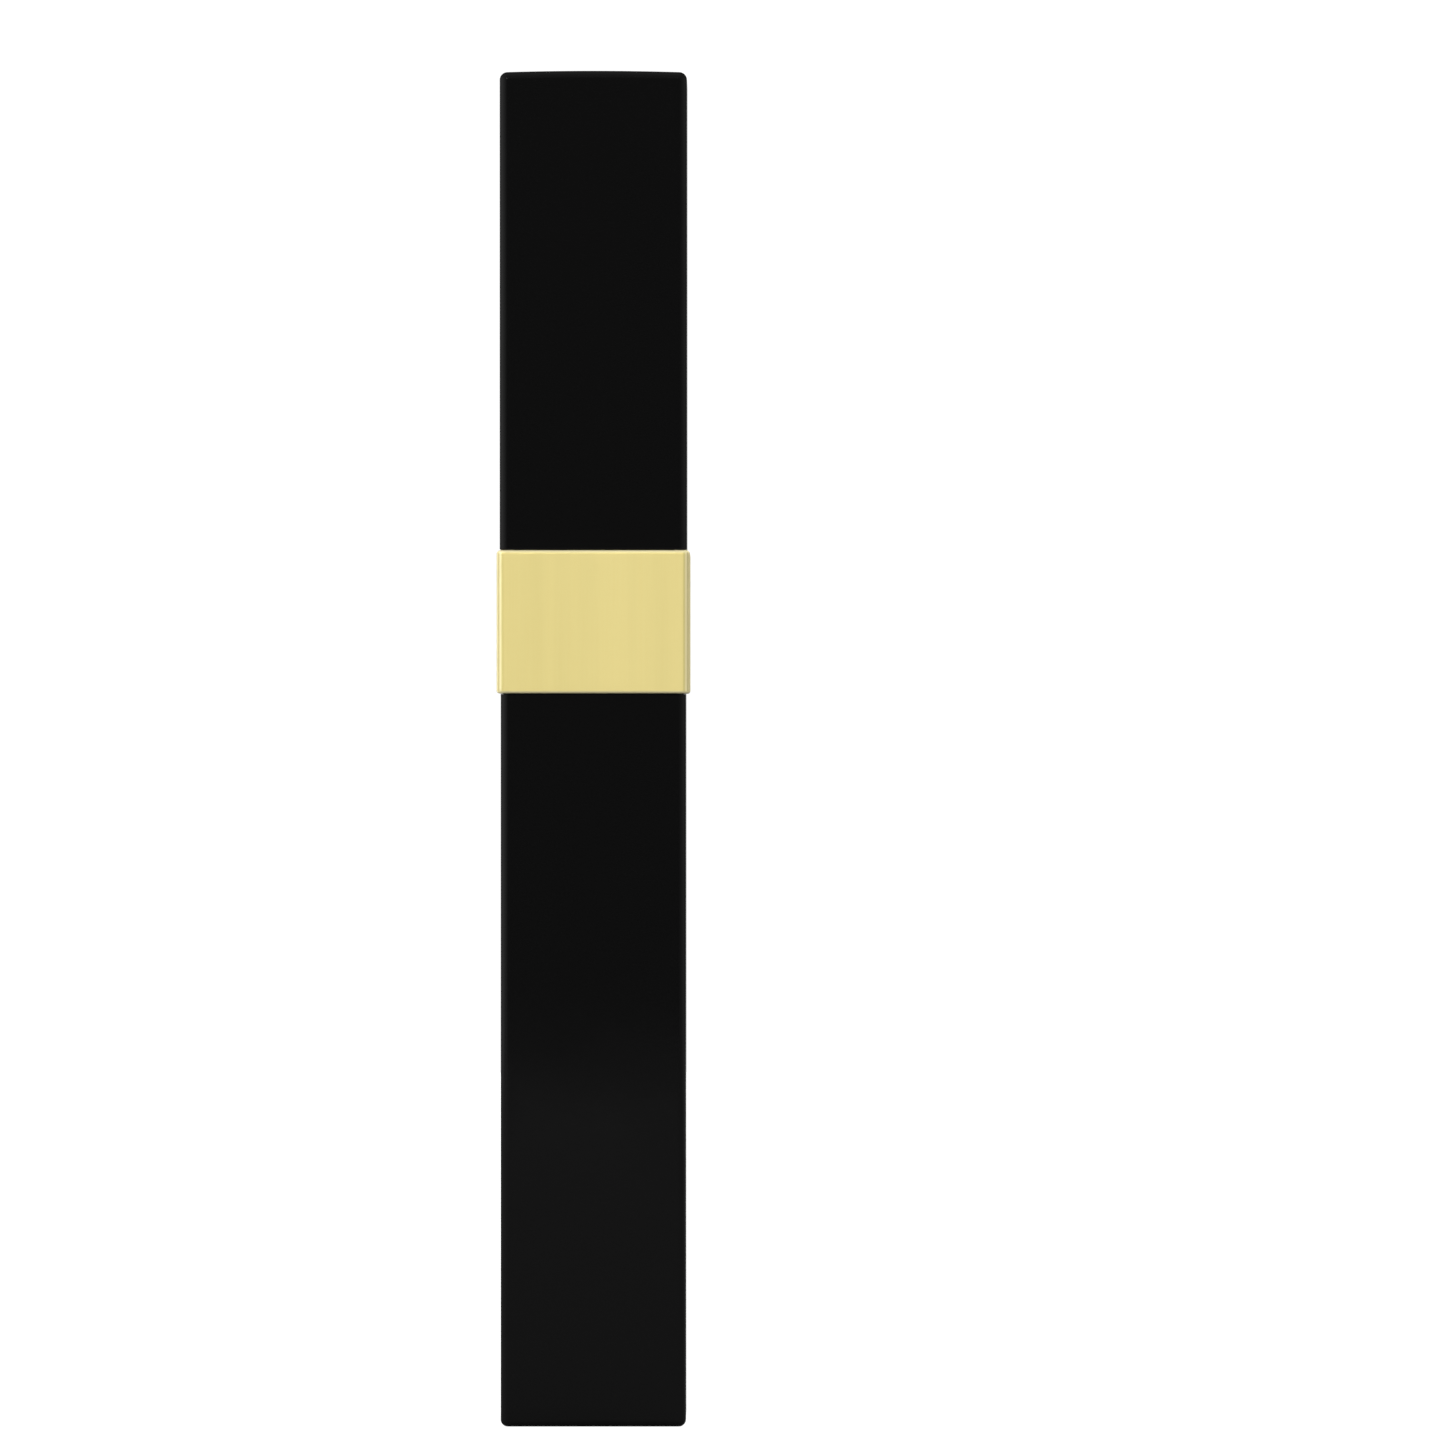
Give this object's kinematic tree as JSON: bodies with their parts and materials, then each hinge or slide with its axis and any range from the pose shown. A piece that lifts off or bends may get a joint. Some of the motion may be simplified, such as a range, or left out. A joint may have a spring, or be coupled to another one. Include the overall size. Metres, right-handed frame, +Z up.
{
  "type": "mascara tube",
  "caption": "Square upright mascara tube with a gloss black casing and cap, a pale gold metal collar, and a moulded brush on a stem in the cap.",
  "frame": {"origin": "middle of the base, on the surface that the closed tube stands on", "axes": "+Z up along the tube towards the cap; the front face looks along -Y, and +X is to its right as seen from the front"},
  "size_m": [0.0194, 0.0194, 0.1355],
  "materials": {
    "black_gloss": "polished black, high gloss",
    "black_moulding": "satin black, as moulded",
    "brush_elastomer": "soft satin black",
    "gold_metal": "pale gold anodised, satin with a fine upright grain",
    "wiper_plastic": "natural milky polyethylene",
    "liner_plastic": "dark grey, as moulded",
    "weight_steel": "turned steel",
    "seal_foam": "off-white soft washer",
    "formula": "wet black cream",
    "label_paper": "blank silver-grey film label"
  },
  "bodies": {
    "bottle": {"bottle_casing": "black_gloss", "base_label": "label_paper", "gold_collar": "gold_metal", "shoulder_insert": "black_moulding", "inner_vial": "black_moulding", "wiper": "wiper_plastic", "mascara_formula": "formula"},
    "seal": {"seal_washer": "seal_foam"},
    "wand": {"cap_casing": "black_gloss", "cap_liner": "liner_plastic", "cap_weight": "weight_steel", "stem": "black_moulding", "brush": "brush_elastomer"}
  },
  "joints": [
    {"name": "wand_pull", "type": "slide", "parent": "bottle", "child": "seal", "axis": [0, 0, 1], "range_m": [0, 0.1], "deforming": ["wiper", "mascara_formula"]},
    {"name": "cap_turn", "type": "hinge", "parent": "seal", "child": "wand", "pos_m": [0, 0, 0.0878], "axis": [0, 0, 1], "range_deg": [0, 90]}
  ]
}
